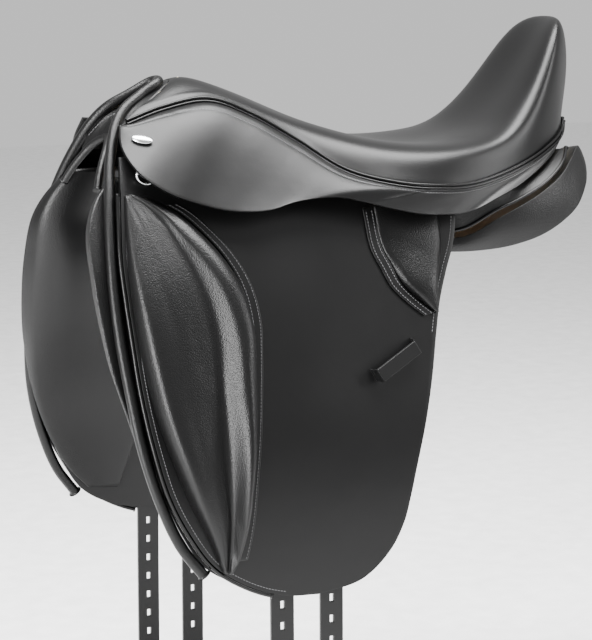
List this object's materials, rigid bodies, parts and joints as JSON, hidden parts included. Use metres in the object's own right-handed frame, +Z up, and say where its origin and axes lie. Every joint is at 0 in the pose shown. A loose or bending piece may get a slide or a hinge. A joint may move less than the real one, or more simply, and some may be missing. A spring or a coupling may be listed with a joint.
{
  "type": "english dressage saddle",
  "caption": "Deep-seated black leather dressage saddle with long straight flaps, external knee blocks, thigh pads, safety stirrup bars, front rings and long billets.",
  "frame": {"origin": "on the centre line of the gullet, on the line of the horse's back, where the saddle rests", "axes": "+X from pommel to cantle, -Y to the horse's left, +Z up"},
  "size_m": [0.5935, 0.429, 0.7355],
  "materials": {
    "smooth_leather": "satin smooth leather",
    "grain_leather": "grained leather with a soft sheen",
    "seat_leather": "soft smooth leather",
    "lining_leather": "plain lining leather",
    "foam": "open-cell foam",
    "webbing": "woven linen web",
    "wood": "laminated beech",
    "steel": "polished plated steel"
  },
  "bodies": {
    "saddle": {"seat_cover": "seat_leather", "seat_foam": "foam", "seat_webbing": "webbing", "tree": "wood", "gullet_plate": "steel", "gullet_lining": "lining_leather", "front_facing": "grain_leather", "inner_roll": "grain_leather", "left_seat_welt": "smooth_leather", "right_seat_welt": "smooth_leather", "left_flap_head": "smooth_leather", "right_flap_head": "smooth_leather", "left_skirt": "smooth_leather", "right_skirt": "smooth_leather", "left_front_roll": "grain_leather", "right_front_roll": "grain_leather", "left_sweat_flap": "smooth_leather", "right_sweat_flap": "smooth_leather", "left_knee_panel": "grain_leather", "right_knee_panel": "grain_leather", "left_panel": "grain_leather", "right_panel": "grain_leather", "left_rear_gusset": "grain_leather", "right_rear_gusset": "grain_leather", "left_tree_rail": "wood", "right_tree_rail": "wood", "left_stirrup_bar": "steel", "right_stirrup_bar": "steel", "left_girth_web": "webbing", "right_girth_web": "webbing", "left_d_ring_tab": "smooth_leather", "right_d_ring_tab": "smooth_leather", "left_skirt_stud": "steel", "right_skirt_stud": "steel"},
    "left_flap_body": {"left_flap": "smooth_leather", "left_flap_piping": "smooth_leather", "left_knee_block": "grain_leather", "left_knee_block_trim": "smooth_leather", "left_thigh_pad": "grain_leather", "left_thigh_pad_border": "smooth_leather", "left_keeper_loop": "smooth_leather"},
    "left_bar_catch_body": {"left_bar_catch": "steel"},
    "left_front_billet_body": {"left_front_billet": "smooth_leather"},
    "left_rear_billet_body": {"left_rear_billet": "smooth_leather"},
    "left_d_ring_body": {"left_d_ring": "steel"},
    "right_flap_body": {"right_flap": "smooth_leather", "right_flap_piping": "smooth_leather", "right_knee_block": "grain_leather", "right_knee_block_trim": "smooth_leather", "right_thigh_pad": "grain_leather", "right_thigh_pad_border": "smooth_leather", "right_keeper_loop": "smooth_leather"},
    "right_bar_catch_body": {"right_bar_catch": "steel"},
    "right_front_billet_body": {"right_front_billet": "smooth_leather"},
    "right_rear_billet_body": {"right_rear_billet": "smooth_leather"},
    "right_d_ring_body": {"right_d_ring": "steel"}
  },
  "joints": [
    {"name": "left_flap_lift", "type": "hinge", "parent": "saddle", "child": "left_flap_body", "pos_m": [-0.0565, -0.09054, 0.0395], "axis": [-0.9955, 0.0414, 0.085], "range_deg": [0, 36]},
    {"name": "left_bar_catch_turn", "type": "hinge", "parent": "saddle", "child": "left_bar_catch_body", "pos_m": [-0.0203, -0.0945, 0.051], "axis": [0, 1, 0], "range_deg": [0, 80]},
    {"name": "left_front_billet_swing", "type": "hinge", "parent": "saddle", "child": "left_front_billet_body", "pos_m": [-0.102, -0.11641, -0.04], "axis": [0, 1, 0], "range_deg": [-3, 9]},
    {"name": "left_rear_billet_swing", "type": "hinge", "parent": "saddle", "child": "left_rear_billet_body", "pos_m": [-0.047, -0.11641, -0.04], "axis": [0, 1, 0], "range_deg": [-9, 3]},
    {"name": "left_d_ring_swing", "type": "hinge", "parent": "saddle", "child": "left_d_ring_body", "pos_m": [-0.203, -0.0834, 0.071], "axis": [-1, 0, 0], "range_deg": [0, 20]},
    {"name": "right_flap_lift", "type": "hinge", "parent": "saddle", "child": "right_flap_body", "pos_m": [-0.0565, 0.09054, 0.0395], "axis": [0.9955, 0.0414, -0.085], "range_deg": [0, 36]},
    {"name": "right_bar_catch_turn", "type": "hinge", "parent": "saddle", "child": "right_bar_catch_body", "pos_m": [-0.0203, 0.0945, 0.051], "axis": [0, 1, 0], "range_deg": [0, 80]},
    {"name": "right_front_billet_swing", "type": "hinge", "parent": "saddle", "child": "right_front_billet_body", "pos_m": [-0.102, 0.11641, -0.04], "axis": [0, 1, 0], "range_deg": [-3, 9]},
    {"name": "right_rear_billet_swing", "type": "hinge", "parent": "saddle", "child": "right_rear_billet_body", "pos_m": [-0.047, 0.11641, -0.04], "axis": [0, 1, 0], "range_deg": [-9, 3]},
    {"name": "right_d_ring_swing", "type": "hinge", "parent": "saddle", "child": "right_d_ring_body", "pos_m": [-0.203, 0.0834, 0.071], "axis": [1, 0, 0], "range_deg": [0, 20]}
  ]
}
